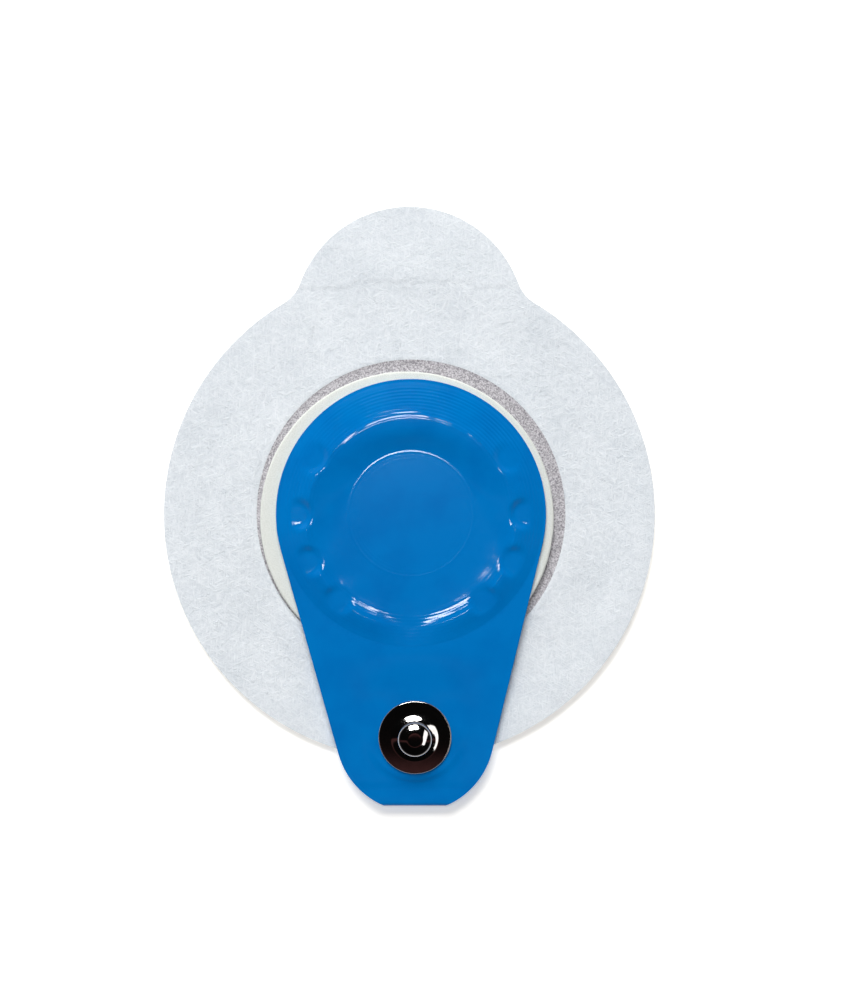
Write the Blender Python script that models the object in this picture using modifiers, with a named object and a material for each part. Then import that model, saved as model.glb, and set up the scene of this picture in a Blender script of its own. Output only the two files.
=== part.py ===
"""Disposable wet-gel ECG electrode: a nonwoven disc with a pull tab, and a blue film cap whose
folded tongue carries the snap stud off to one side.

Metres, +Z up. The origin is the middle of the sponge's skin face. +Y points to the pull tab, and
the snap lies towards -Y. The electrode lies on its skin side, as on a table.
"""

import math

import bmesh
import bpy

# Layers, from the skin upwards
ADHESIVE_THICKNESS = 0.0001
FABRIC_THICKNESS = 0.00035
PRESSED_THICKNESS = 0.00025
FOAM_THICKNESS = 0.0008
SENSOR_THICKNESS = 0.0001
FILM_THICKNESS = 0.0003
GLUE_GAP = 0.00002

# Backing disc with its pull tab
DISC_RADIUS = 0.0276
TAB_RADIUS = 0.01305
TAB_CENTRE_Y = 0.0215
TAB_FILLET = 0.0045
BACKING_OFFSET_X = -0.0002
TAB_STRIP_EDGE_Y = 0.0256

# Gel well and the foam ring round it
WELL_RADIUS = 0.0096
SPONGE_CLEARANCE = 0.0002
SPONGE_EDGE = 0.0001
RING_LEDGE = 0.00137
RING_OFFSET_X = -0.00045
RING_OFFSET_Y = -0.0005
RING_EDGE = 0.00015
RING_BORE_CLEARANCE = 0.0001
PRESSED_BAND_MARGIN = 0.0002

# Film cap: rim, crown, groove and boss, from the edge inwards
CAP_RADIUS = 0.01513
RIM_WIDTH = 0.0003
CROWN_OUTER_SLOPE = 0.0032
CROWN_INNER_SLOPE = 0.003
CROWN_HEIGHT = 0.0007
CROWN_TILT = 0.3
CROWN_LEAN = 0.001
GROOVE_WIDTH = 0.0014
GROOVE_HEIGHT = 0.0001
BOSS_WALL = 0.001
BOSS_HEIGHT = 0.0002

# Round dimples pressed into the crown, by their angle from +X
DIMPLE_INSET = 0.00217
DIMPLE_FLOOR_RADIUS = 0.001
DIMPLE_WALL = 0.001
DIMPLE_FLOOR_SHARE = 0.4
DIMPLE_ANGLES = (0, 30, 59, 121, 150, 180, 205, 230, 310, 335)

# Film tongue, its end, its fold and the flap under it
TONGUE_OFFSET_X = 0.00045
TONGUE_NECK = 0.00465
TONGUE_MARGIN = 0.0034
TONGUE_END_SETBACK = 0.0005
FOLD_LENGTH = 0.0068
FLAP_GAP = 0.0005

# Snap stud, and the film raised under its flange
STUD_FLANGE_RADIUS = 0.0041
STUD_FLANGE_THICKNESS = 0.00025
STUD_BASE_FILLET = 0.0007
STUD_NECK_RADIUS = 0.0016
STUD_NECK_HEIGHT = 0.0011
STUD_HEAD_RADIUS = 0.0019
STUD_HEAD_ROUNDING = 0.0006
STUD_HEIGHT = 0.00305
STUD_UNDERCUT_ANGLE = math.radians(-40)
STUD_WALL = 0.00025
SEAT_MARGIN = 0.0006
SEAT_SLOPE = 0.0008
SEAT_HEIGHT = 0.00012

# Eyelet under the film
EYELET_FLANGE_RADIUS = 0.0034
EYELET_FLANGE_THICKNESS = 0.0002
EYELET_POST_CLEARANCE = 0.00015
POST_TOP_CLEARANCE = 0.0002
POCKET_MARGIN = 0.0003
POCKET_SLOPE = 0.001

# Silver coated sensor strip
SENSOR_PAD_RADIUS = 0.005
SENSOR_STRAP_WIDTH = 0.0032
SENSOR_EYE_RADIUS = 0.0029
SENSOR_HOLE_CLEARANCE = 0.0001
FILM_HOLE_CLEARANCE = 0.0003

# Sampling of round shapes
CROWN_SECTORS = 96
WELL_SECTORS = 48
RING_SECTORS = 64
STUD_SECTORS = 36
EYELET_SECTORS = 24
SEAT_SECTORS = 32
DISC_STEP = math.radians(3.75)
FILLET_STEPS = 5
FOLD_STEPS = 6
FOLD_COLUMNS = 6

# Levels worked out from the layers
FABRIC_BOTTOM = ADHESIVE_THICKNESS
FABRIC_TOP = FABRIC_BOTTOM + FABRIC_THICKNESS
PRESSED_TOP = FABRIC_BOTTOM + PRESSED_THICKNESS
FOAM_BOTTOM = PRESSED_TOP + GLUE_GAP
FOAM_TOP = FOAM_BOTTOM + FOAM_THICKNESS
SENSOR_BOTTOM = FOAM_TOP + GLUE_GAP
SENSOR_TOP = SENSOR_BOTTOM + SENSOR_THICKNESS
FILM_BOTTOM = SENSOR_TOP + GLUE_GAP
FILM_TOP = FILM_BOTTOM + FILM_THICKNESS
FLAP_BOTTOM = FOAM_TOP - FILM_THICKNESS
FOLD_RADIUS = (FILM_TOP - FLAP_BOTTOM) / 2
STUD_BOTTOM = FILM_TOP + SEAT_HEIGHT + GLUE_GAP
STUD_TOP = STUD_BOTTOM + STUD_HEIGHT
EYELET_BOTTOM = FOAM_TOP - EYELET_FLANGE_THICKNESS
POCKET_DEPTH = EYELET_FLANGE_THICKNESS + GLUE_GAP

# Radii worked out from the sizes above
SPONGE_RADIUS = WELL_RADIUS - SPONGE_CLEARANCE
RING_SHIFT = math.hypot(RING_OFFSET_X, RING_OFFSET_Y)
RING_RADIUS = CAP_RADIUS + RING_LEDGE
RING_BORE_RADIUS = WELL_RADIUS + RING_SHIFT + RING_BORE_CLEARANCE
PRESSED_BAND_RADIUS = RING_RADIUS + RING_SHIFT + PRESSED_BAND_MARGIN
CROWN_FOOT_RADIUS = CAP_RADIUS - RIM_WIDTH
CROWN_PEAK_RADIUS = CROWN_FOOT_RADIUS - CROWN_OUTER_SLOPE
GROOVE_RADIUS = CROWN_PEAK_RADIUS - CROWN_INNER_SLOPE
BOSS_FOOT_RADIUS = GROOVE_RADIUS - GROOVE_WIDTH
BOSS_RADIUS = BOSS_FOOT_RADIUS - BOSS_WALL
DIMPLE_CIRCLE_RADIUS = CROWN_FOOT_RADIUS - DIMPLE_INSET
SEAT_RADIUS = STUD_FLANGE_RADIUS + SEAT_MARGIN
SEAT_FOOT_RADIUS = SEAT_RADIUS + SEAT_SLOPE
POCKET_RADIUS = EYELET_FLANGE_RADIUS + POCKET_MARGIN
POCKET_FOOT_RADIUS = POCKET_RADIUS + POCKET_SLOPE
STUD_BORE_RADIUS = STUD_NECK_RADIUS - STUD_WALL
POST_RADIUS = STUD_BORE_RADIUS - EYELET_POST_CLEARANCE

# Places along the tongue
STUD_Y = -(CROWN_FOOT_RADIUS + TONGUE_NECK + SEAT_FOOT_RADIUS)
TONGUE_END_RADIUS = SEAT_FOOT_RADIUS + TONGUE_MARGIN
TONGUE_END_Y = STUD_Y + TONGUE_END_SETBACK
FOLD_Y = TONGUE_END_Y - math.sqrt(TONGUE_END_RADIUS**2 - (FOLD_LENGTH / 2) ** 2)
BEND_START_Y = FOLD_Y + FOLD_RADIUS
FLAP_END_Y = RING_OFFSET_Y - RING_RADIUS - FLAP_GAP


def clear_scene():
    for obj in list(bpy.data.objects):
        bpy.data.objects.remove(obj, do_unlink=True)


def new_collection(name):
    collection = bpy.data.collections.new(name)
    bpy.context.scene.collection.children.link(collection)
    return collection


def new_material(name, colour, roughness, metallic=0.0):
    material = bpy.data.materials.new(name)
    material.use_nodes = True
    shader = material.node_tree.nodes["Principled BSDF"]
    shader.inputs["Base Color"].default_value = (*colour, 1.0)
    shader.inputs["Roughness"].default_value = roughness
    shader.inputs["Metallic"].default_value = metallic
    material.diffuse_color = (*colour, 1.0)
    return material


def arc(centre, radius, start, end, steps):
    """Points from one angle to the other, both ends included."""
    points = []
    for i in range(steps + 1):
        angle = start + (end - start) * i / steps
        points.append((centre[0] + radius * math.cos(angle), centre[1] + radius * math.sin(angle)))
    return points


def arc_by_step(centre, radius, start, end, step):
    """An arc cut into pieces of about the given angle."""
    return arc(centre, radius, start, end, max(2, round(abs(end - start) / step)))


def full_circle(centre, radius, sectors):
    return arc(centre, radius, 0.0, math.tau, sectors)[:-1]


def smooth(share):
    """0 to 1 with level ends."""
    share = min(1.0, max(0.0, share))
    return share * share * (3 - 2 * share)


def die_cut(name, loops, bottom, top, collection):
    """A flat sheet cut along closed loops: the first is its outline and the others are holes."""
    curve = bpy.data.curves.new(name, "CURVE")
    curve.dimensions = "2D"
    curve.fill_mode = "BOTH"
    curve.extrude = (top - bottom) / 2
    for loop in loops:
        spline = curve.splines.new("POLY")
        spline.points.add(len(loop) - 1)
        for point, (x, y) in zip(spline.points, loop):
            point.co = (x, y, 0.0, 1.0)
        spline.use_cyclic_u = True
    obj = bpy.data.objects.new(name, curve)
    obj.location.z = (bottom + top) / 2
    collection.objects.link(obj)
    return obj


def to_mesh_object(curve_obj, collection):
    """The same sheet as a welded mesh, ready for a Boolean or a Bevel."""
    bpy.context.view_layer.update()
    graph = bpy.context.evaluated_depsgraph_get()
    mesh = bpy.data.meshes.new_from_object(curve_obj.evaluated_get(graph))
    sheet = bmesh.new()
    sheet.from_mesh(mesh)
    bmesh.ops.remove_doubles(sheet, verts=sheet.verts, dist=1e-7)
    bmesh.ops.recalc_face_normals(sheet, faces=sheet.faces)
    sheet.to_mesh(mesh)
    sheet.free()
    name = curve_obj.name
    matrix = curve_obj.matrix_world.copy()
    bpy.data.objects.remove(curve_obj, do_unlink=True)
    obj = bpy.data.objects.new(name, mesh)
    obj.matrix_world = matrix
    collection.objects.link(obj)
    return obj


def turned(name, profile, location, sectors, collection):
    """A round piece from a profile of (radius, height) points, top to bottom down its outer side."""
    mesh = bpy.data.meshes.new(name)
    mesh.from_pydata([(r, 0.0, z) for r, z in profile], [(i, i + 1) for i in range(len(profile) - 1)], [])
    obj = bpy.data.objects.new(name, mesh)
    obj.location = location
    screw = obj.modifiers.new("turn", "SCREW")
    screw.steps = sectors
    screw.render_steps = sectors
    screw.use_merge_vertices = True
    screw.merge_threshold = 1e-7
    screw.use_smooth_shade = True
    collection.objects.link(obj)
    return obj


def soften_edges(obj, width, segments=2):
    bevel = obj.modifiers.new("soft edge", "BEVEL")
    bevel.width = width
    bevel.segments = segments
    bevel.limit_method = "ANGLE"
    bevel.angle_limit = math.radians(50)


def backing_outline():
    """The disc's and the tab's arcs, joined by a concave fillet on each side, anticlockwise."""
    apart = TAB_CENTRE_Y
    disc_reach = DISC_RADIUS + TAB_FILLET
    tab_reach = TAB_RADIUS + TAB_FILLET
    fillet_y = (apart**2 + disc_reach**2 - tab_reach**2) / (2 * apart)
    fillet_x = math.sqrt(disc_reach**2 - fillet_y**2)
    disc_angle = math.atan2(fillet_y, fillet_x)
    tab_angle = math.atan2(fillet_y - TAB_CENTRE_Y, fillet_x)
    disc_centre = (BACKING_OFFSET_X, 0.0)
    tab_centre = (BACKING_OFFSET_X, TAB_CENTRE_Y)
    right = (BACKING_OFFSET_X + fillet_x, fillet_y)
    left = (BACKING_OFFSET_X - fillet_x, fillet_y)
    points = arc(right, TAB_FILLET, math.pi + disc_angle, math.pi + tab_angle, FILLET_STEPS)[:-1]
    points += arc_by_step(tab_centre, TAB_RADIUS, tab_angle, math.pi - tab_angle, 2 * DISC_STEP)[:-1]
    points += arc(left, TAB_FILLET, -tab_angle, -disc_angle, FILLET_STEPS)[:-1]
    rest_of_disc = math.pi - disc_angle, math.tau + disc_angle
    points += arc_by_step(disc_centre, DISC_RADIUS, *rest_of_disc, DISC_STEP)[:-1]
    return points


def keep_side(loop, y, above):
    """The part of a closed loop on one side of the line at y."""
    kept = []
    for (x0, y0), (x1, y1) in zip(loop, loop[1:] + loop[:1]):
        inside = (y0 >= y) == above
        if inside:
            kept.append((x0, y0))
        if (y0 - y) * (y1 - y) < 0:
            share = (y - y0) / (y1 - y0)
            kept.append((x0 + share * (x1 - x0), y))
    return kept


def make_backing_disc(parts, cutters):
    """Nonwoven sheet with the gel well punched out and a band round it pressed thin."""
    well = full_circle((0.0, 0.0), WELL_RADIUS, WELL_SECTORS)
    disc = die_cut("backing_disc", [backing_outline(), well], FABRIC_BOTTOM, FABRIC_TOP, parts)
    disc = to_mesh_object(disc, parts)
    band = [
        full_circle((0.0, 0.0), PRESSED_BAND_RADIUS, CROWN_SECTORS),
        full_circle((0.0, 0.0), WELL_RADIUS / 2, WELL_SECTORS),
    ]
    cutter = die_cut("pressed_band_cutter", band, PRESSED_TOP, FABRIC_TOP + FABRIC_THICKNESS, cutters)
    cutter = to_mesh_object(cutter, cutters)
    cutter.hide_render = True
    cutter.display_type = "WIRE"
    press = disc.modifiers.new("pressed band", "BOOLEAN")
    press.operation = "DIFFERENCE"
    press.solver = "EXACT"
    press.object = cutter
    disc.data.materials.append(new_material("nonwoven", (0.80, 0.83, 0.86), 0.9))


def make_skin_adhesive(parts):
    """Adhesive coat on the underside, from the pressed band out to the edge and to the tab strip."""
    outline = keep_side(backing_outline(), TAB_STRIP_EDGE_Y, above=False)
    band = full_circle((0.0, 0.0), PRESSED_BAND_RADIUS, CROWN_SECTORS)
    coat = die_cut("skin_adhesive", [outline, band], 0.0, ADHESIVE_THICKNESS - GLUE_GAP, parts)
    coat.data.materials.append(new_material("adhesive", (0.82, 0.80, 0.72), 0.35))


def make_tab_strip(parts):
    """Strip under the tab that leaves it free to be gripped."""
    outline = keep_side(backing_outline(), TAB_STRIP_EDGE_Y + GLUE_GAP, above=True)
    strip = die_cut("tab_strip", [outline], 0.0, ADHESIVE_THICKNESS - GLUE_GAP, parts)
    strip.data.materials.append(new_material("strip_film", (0.86, 0.87, 0.88), 0.4))


def make_foam_ring(parts):
    """Foam washer stuck on the pressed band, a little low and left of the cap."""
    centre = (RING_OFFSET_X, RING_OFFSET_Y)
    outline = full_circle(centre, RING_RADIUS, RING_SECTORS)
    bore = full_circle(centre, RING_BORE_RADIUS, WELL_SECTORS)
    ring = to_mesh_object(die_cut("foam_ring", [outline, bore], FOAM_BOTTOM, FOAM_TOP, parts), parts)
    soften_edges(ring, RING_EDGE, 1)
    ring.data.materials.append(new_material("foam", (0.84, 0.86, 0.81), 0.8))


def make_gel_sponge(parts):
    """Round sponge that fills the well from the skin up to the sensor pad."""
    bpy.ops.mesh.primitive_cylinder_add(
        vertices=WELL_SECTORS, radius=SPONGE_RADIUS, depth=FOAM_TOP, location=(0.0, 0.0, FOAM_TOP / 2)
    )
    sponge = bpy.context.object
    sponge.name = "gel_sponge"
    for collection in list(sponge.users_collection):
        collection.objects.unlink(sponge)
    parts.objects.link(sponge)
    soften_edges(sponge, SPONGE_EDGE, 1)
    sponge.data.materials.append(new_material("gel_sponge", (0.85, 0.84, 0.74), 0.25))


def make_sensor_strip(parts):
    """One flat cut: the pad over the sponge, a straight strap, and the eye round the eyelet's post."""
    length = math.hypot(TONGUE_OFFSET_X, STUD_Y)
    heading = math.atan2(STUD_Y, TONGUE_OFFSET_X)
    half_width = SENSOR_STRAP_WIDTH / 2
    pad_angle = math.asin(half_width / SENSOR_PAD_RADIUS)
    eye_angle = math.asin(half_width / SENSOR_EYE_RADIUS)
    outline = arc((0.0, 0.0), SENSOR_PAD_RADIUS, pad_angle, math.tau - pad_angle, 40)
    outline += arc((length, 0.0), SENSOR_EYE_RADIUS, eye_angle - math.pi, math.pi - eye_angle, 24)
    hole = full_circle((length, 0.0), POST_RADIUS + SENSOR_HOLE_CLEARANCE, 24)
    strip = die_cut("sensor_strip", [outline, hole], SENSOR_BOTTOM, SENSOR_TOP, parts)
    strip.rotation_euler.z = heading
    strip.data.materials.append(new_material("silver_chloride", (0.45, 0.45, 0.46), 0.45, 0.8))


def crown_height(radius):
    """Height of the film's upper face over its rim, before the crown tilts and the dimples go in."""
    if radius <= BOSS_RADIUS:
        return BOSS_HEIGHT
    if radius <= BOSS_FOOT_RADIUS:
        share = smooth((radius - BOSS_RADIUS) / BOSS_WALL)
        return BOSS_HEIGHT + (GROOVE_HEIGHT - BOSS_HEIGHT) * share
    if radius <= GROOVE_RADIUS:
        return GROOVE_HEIGHT
    if radius <= CROWN_PEAK_RADIUS:
        share = smooth((radius - GROOVE_RADIUS) / CROWN_INNER_SLOPE)
        return GROOVE_HEIGHT + (CROWN_HEIGHT - GROOVE_HEIGHT) * share
    share = min(1.0, (radius - CROWN_PEAK_RADIUS) / CROWN_OUTER_SLOPE)
    return CROWN_HEIGHT * math.cos(share * math.pi / 2)


def crown_radii():
    """The rings on which the crown's profile is sampled, from the boss to the foot."""
    spans = (
        (BOSS_RADIUS, BOSS_WALL, 3),
        (BOSS_FOOT_RADIUS, GROOVE_WIDTH, 1),
        (GROOVE_RADIUS, CROWN_INNER_SLOPE, 4),
        (CROWN_PEAK_RADIUS, CROWN_OUTER_SLOPE, 7),
    )
    radii = [start + width * i / steps for start, width, steps in spans for i in range(steps)]
    return radii + [CROWN_FOOT_RADIUS]


def crown_share(radius):
    """How much of the crown's lean and tilt a ring takes: all at the peak, none at the boss and foot."""
    if radius <= CROWN_PEAK_RADIUS:
        return smooth((radius - BOSS_FOOT_RADIUS) / (CROWN_PEAK_RADIUS - BOSS_FOOT_RADIUS))
    return smooth((CROWN_FOOT_RADIUS - radius) / CROWN_OUTER_SLOPE)


def press_dimples(x, y, height):
    """Height after the round punches have pushed the crown down to each dimple's floor."""
    for degrees in DIMPLE_ANGLES:
        angle = math.radians(degrees)
        floor = DIMPLE_FLOOR_SHARE * CROWN_HEIGHT * (1 + CROWN_TILT * math.sin(angle))
        away = math.hypot(
            x - DIMPLE_CIRCLE_RADIUS * math.cos(angle), y - DIMPLE_CIRCLE_RADIUS * math.sin(angle)
        )
        pressed = 1 - smooth((away - DIMPLE_FLOOR_RADIUS) / DIMPLE_WALL)
        height += pressed * min(0.0, floor - height)
    return height


def spin_crown(film):
    """Turns the crown's profile round the axis, tilts it and presses the dimples. Returns the foot."""
    verts = [film.verts.new((r, 0.0, FILM_TOP + crown_height(r))) for r in crown_radii()]
    verts.insert(0, film.verts.new((0.0, 0.0, FILM_TOP + BOSS_HEIGHT)))
    edges = [film.edges.new(pair) for pair in zip(verts, verts[1:])]
    bmesh.ops.spin(
        film, geom=verts + edges, cent=(0, 0, 0), axis=(0, 0, 1), angle=math.tau, steps=CROWN_SECTORS,
        use_merge=False, use_duplicate=False,
    )
    bmesh.ops.remove_doubles(film, verts=film.verts, dist=1e-7)
    for vert in film.verts:
        radius = math.hypot(vert.co.x, vert.co.y)
        if BOSS_FOOT_RADIUS < radius < CROWN_FOOT_RADIUS - GLUE_GAP:
            sine = vert.co.y / radius
            shifted = radius - CROWN_LEAN * sine * crown_share(radius)
            height = (vert.co.z - FILM_TOP) * (1 + CROWN_TILT * sine * crown_share(radius))
            vert.co.x *= shifted / radius
            vert.co.y *= shifted / radius
            vert.co.z = FILM_TOP + press_dimples(vert.co.x, vert.co.y, height)
    return [edge for edge in film.edges if edge.is_boundary]


def tongue_sides():
    """The angle at which the straight side leaves the end arc, measured from the tongue's axis."""
    length = math.hypot(TONGUE_OFFSET_X, TONGUE_END_Y)
    axis = math.atan2(TONGUE_END_Y, TONGUE_OFFSET_X)
    flare = math.acos((CAP_RADIUS - TONGUE_END_RADIUS) / length)
    return axis - flare, axis + flare


def side_x(angle, y):
    """Where the straight side with this normal crosses the line at y."""
    return (CAP_RADIUS - y * math.sin(angle)) / math.cos(angle)


def half_chord(y):
    """Half the width of the tongue's round end at the line at y."""
    return math.sqrt(TONGUE_END_RADIUS**2 - (y - TONGUE_END_Y) ** 2)


def end_arc(corner_y, side_angle, steps=12):
    """Points of the round end from the bend's corner up to the straight side."""
    centre = (TONGUE_OFFSET_X, TONGUE_END_Y)
    sign = 1 if math.cos(side_angle) > 0 else -1
    corner = math.atan2(corner_y - TONGUE_END_Y, sign * half_chord(corner_y))
    if sign < 0:
        corner -= math.tau * (corner > 0)
        side_angle -= math.tau * (side_angle > 0)
    return arc(centre, TONGUE_END_RADIUS, corner, side_angle, steps)


def new_verts(film, points, height):
    return [film.verts.new((x, y, height)) for x, y in points]


def chain(film, verts, closed=False):
    """Edges along a row of vertices, taking those that are there already."""
    pairs = list(zip(verts, verts[1:]))
    if closed:
        pairs.append((verts[-1], verts[0]))
    return [film.edges.get(pair) or film.edges.new(pair) for pair in pairs]


def round_step(film, rings):
    """Concentric rings of (radius, height) about the stud, bridged. Returns the vertices of each ring."""
    centre = (TONGUE_OFFSET_X, STUD_Y)
    rows = [new_verts(film, full_circle(centre, radius, SEAT_SECTORS), z) for radius, z in rings]
    for inner, outer in zip(rows, rows[1:]):
        for i in range(SEAT_SECTORS):
            j = (i + 1) % SEAT_SECTORS
            film.faces.new((inner[i], outer[i], outer[j], inner[j]))
    return rows


def fold_rows(film):
    """Rows of vertices across the bend, from the tongue's upper face round to the flap's lower face."""
    rows = []
    for i in range(FOLD_STEPS + 1):
        turn = math.pi * i / FOLD_STEPS
        y = BEND_START_Y - FOLD_RADIUS * math.sin(turn)
        z = FILM_TOP - FOLD_RADIUS * (1 - math.cos(turn))
        half = half_chord(y)
        across = [TONGUE_OFFSET_X + half * (2 * k / FOLD_COLUMNS - 1) for k in range(FOLD_COLUMNS + 1)]
        rows.append([film.verts.new((x, y, z)) for x in across])
    for upper, lower in zip(rows, rows[1:]):
        for k in range(FOLD_COLUMNS):
            film.faces.new((upper[k], lower[k], lower[k + 1], upper[k + 1]))
    return rows


def make_top_film(parts):
    """Thermoformed film: the crown, the flat rim and tongue, the fold and the flap, as one sheet."""
    film = bmesh.new()
    foot_edges = spin_crown(film)
    left_angle, right_angle = tongue_sides()
    bend = fold_rows(film)
    right_end = new_verts(film, end_arc(BEND_START_Y, right_angle)[1:], FILM_TOP)
    left_end = new_verts(film, end_arc(BEND_START_Y, left_angle)[1:], FILM_TOP)
    cap_arc = arc_by_step((0.0, 0.0), CAP_RADIUS, right_angle, math.tau + left_angle, DISC_STEP)
    outline = right_end + new_verts(film, cap_arc, FILM_TOP) + left_end[::-1]
    seat_hole = POST_RADIUS + FILM_HOLE_CLEARANCE
    seat = round_step(
        film,
        (
            (seat_hole, FILM_TOP + SEAT_HEIGHT),
            (SEAT_RADIUS, FILM_TOP + SEAT_HEIGHT),
            (SEAT_RADIUS + SEAT_SLOPE / 2, FILM_TOP + SEAT_HEIGHT / 2),
            (SEAT_FOOT_RADIUS, FILM_TOP),
        ),
    )
    flat_edges = chain(film, bend[0] + outline, closed=True) + chain(film, seat[-1], closed=True)
    bmesh.ops.triangle_fill(film, use_beauty=True, edges=flat_edges + foot_edges)
    flap_right = new_verts(film, end_arc(BEND_START_Y, right_angle)[1:], FLAP_BOTTOM)
    flap_left = new_verts(film, end_arc(BEND_START_Y, left_angle)[1:], FLAP_BOTTOM)
    corner_right = film.verts.new((side_x(right_angle, FLAP_END_Y), FLAP_END_Y, FLAP_BOTTOM))
    corner_left = film.verts.new((side_x(left_angle, FLAP_END_Y), FLAP_END_Y, FLAP_BOTTOM))
    pocket = round_step(
        film,
        (
            (POCKET_RADIUS, FLAP_BOTTOM - POCKET_DEPTH),
            (POCKET_RADIUS + POCKET_SLOPE / 2, FLAP_BOTTOM - POCKET_DEPTH / 2),
            (POCKET_FOOT_RADIUS, FLAP_BOTTOM),
        ),
    )
    film.faces.new(pocket[0])
    flap_loop = bend[-1] + flap_right + [corner_right, corner_left] + flap_left[::-1]
    flap_edges = chain(film, flap_loop, closed=True) + chain(film, pocket[-1], closed=True)
    bmesh.ops.triangle_fill(film, use_beauty=True, edges=flap_edges)
    bmesh.ops.recalc_face_normals(film, faces=film.faces)
    film.verts.ensure_lookup_table()
    film.faces.ensure_lookup_table()
    boss = max(film.faces, key=lambda face: face.calc_center_median().z)
    if boss.normal.z < 0:
        bmesh.ops.reverse_faces(film, faces=film.faces)
    mesh = bpy.data.meshes.new("top_film")
    film.to_mesh(mesh)
    film.free()
    obj = bpy.data.objects.new("top_film", mesh)
    parts.objects.link(obj)
    shell = obj.modifiers.new("film thickness", "SOLIDIFY")
    shell.thickness = FILM_THICKNESS
    shell.offset = -1.0
    shell.use_even_offset = True
    mesh.materials.append(new_material("blue_film", (0.0, 0.16, 0.52), 0.3))
    mesh.shade_smooth()
    mesh.set_sharp_from_angle(angle=math.radians(35))


def make_snap_stud(parts):
    """Hollow pressed stud: flat head, round undercut, neck, base fillet and flange."""
    head_centre = (STUD_HEAD_RADIUS - STUD_HEAD_ROUNDING, STUD_HEIGHT - STUD_HEAD_ROUNDING)
    fillet_centre = (STUD_NECK_RADIUS + STUD_BASE_FILLET, STUD_FLANGE_THICKNESS + STUD_BASE_FILLET)
    rim_radius = STUD_FLANGE_THICKNESS / 2
    rim_centre = (STUD_FLANGE_RADIUS - rim_radius, rim_radius)
    bore_top = STUD_HEIGHT - STUD_WALL
    profile = [(0.0, STUD_HEIGHT)]
    profile += arc(head_centre, STUD_HEAD_ROUNDING, math.pi / 2, STUD_UNDERCUT_ANGLE, 8)
    profile += [(STUD_NECK_RADIUS, STUD_NECK_HEIGHT)]
    profile += arc(fillet_centre, STUD_BASE_FILLET, math.pi, 1.5 * math.pi, 4)
    profile += arc(rim_centre, rim_radius, math.pi / 2, -math.pi / 2, 4)
    profile += [(STUD_BORE_RADIUS, 0.0), (STUD_BORE_RADIUS, bore_top - STUD_WALL)]
    profile += [(STUD_BORE_RADIUS - STUD_WALL, bore_top), (0.0, bore_top)]
    place = (TONGUE_OFFSET_X, STUD_Y, STUD_BOTTOM)
    stud = turned("snap_stud", profile, place, STUD_SECTORS, parts)
    stud.data.materials.append(new_material("nickel", (0.45, 0.43, 0.42), 0.12, 1.0))


def make_stud_eyelet(parts):
    """Rivet below the film, with its flange under the sensor's eye and its post up in the stud."""
    top = STUD_TOP - 2 * STUD_WALL - POST_TOP_CLEARANCE - EYELET_BOTTOM
    rim_radius = EYELET_FLANGE_THICKNESS / 2
    rim_centre = (EYELET_FLANGE_RADIUS - rim_radius, rim_radius)
    profile = [(0.0, top), (POST_RADIUS - STUD_WALL, top), (POST_RADIUS, top - STUD_WALL)]
    profile += [(POST_RADIUS, EYELET_FLANGE_THICKNESS)]
    profile += arc(rim_centre, rim_radius, math.pi / 2, -math.pi / 2, 3)
    profile += [(0.0, 0.0)]
    place = (TONGUE_OFFSET_X, STUD_Y, EYELET_BOTTOM)
    eyelet = turned("stud_eyelet", profile, place, EYELET_SECTORS, parts)
    eyelet.data.materials.append(new_material("silver_coat", (0.62, 0.62, 0.60), 0.35, 0.9))


clear_scene()
electrode = new_collection("ecg_electrode")
cutters = new_collection("cutters")
make_skin_adhesive(electrode)
make_tab_strip(electrode)
make_backing_disc(electrode, cutters)
make_foam_ring(electrode)
make_gel_sponge(electrode)
make_sensor_strip(electrode)
make_stud_eyelet(electrode)
make_top_film(electrode)
make_snap_stud(electrode)
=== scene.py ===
import math
import random

import bmesh
import bpy
import numpy as np
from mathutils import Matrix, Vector, noise
from mathutils.geometry import delaunay_2d_cdt


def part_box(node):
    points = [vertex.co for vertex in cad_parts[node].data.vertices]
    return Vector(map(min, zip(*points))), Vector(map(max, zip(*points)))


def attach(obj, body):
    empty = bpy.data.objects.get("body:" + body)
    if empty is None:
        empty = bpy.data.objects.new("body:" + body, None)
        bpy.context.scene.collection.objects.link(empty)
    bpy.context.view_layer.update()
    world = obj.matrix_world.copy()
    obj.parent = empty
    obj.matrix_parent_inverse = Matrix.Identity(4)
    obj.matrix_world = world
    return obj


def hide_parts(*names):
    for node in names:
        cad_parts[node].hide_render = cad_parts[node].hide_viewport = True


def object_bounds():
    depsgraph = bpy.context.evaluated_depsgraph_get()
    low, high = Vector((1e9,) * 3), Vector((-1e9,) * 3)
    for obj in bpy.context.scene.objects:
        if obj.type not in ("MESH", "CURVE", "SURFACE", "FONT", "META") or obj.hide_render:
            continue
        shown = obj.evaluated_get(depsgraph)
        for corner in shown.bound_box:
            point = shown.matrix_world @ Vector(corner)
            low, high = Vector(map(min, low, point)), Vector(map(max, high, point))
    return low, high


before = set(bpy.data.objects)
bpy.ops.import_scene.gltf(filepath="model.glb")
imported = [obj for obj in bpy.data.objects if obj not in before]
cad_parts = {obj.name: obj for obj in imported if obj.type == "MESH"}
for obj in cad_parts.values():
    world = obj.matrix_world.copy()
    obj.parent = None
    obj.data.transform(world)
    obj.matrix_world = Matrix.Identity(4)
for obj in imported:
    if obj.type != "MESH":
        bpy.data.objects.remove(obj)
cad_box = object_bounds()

mm = 0.001

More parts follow.
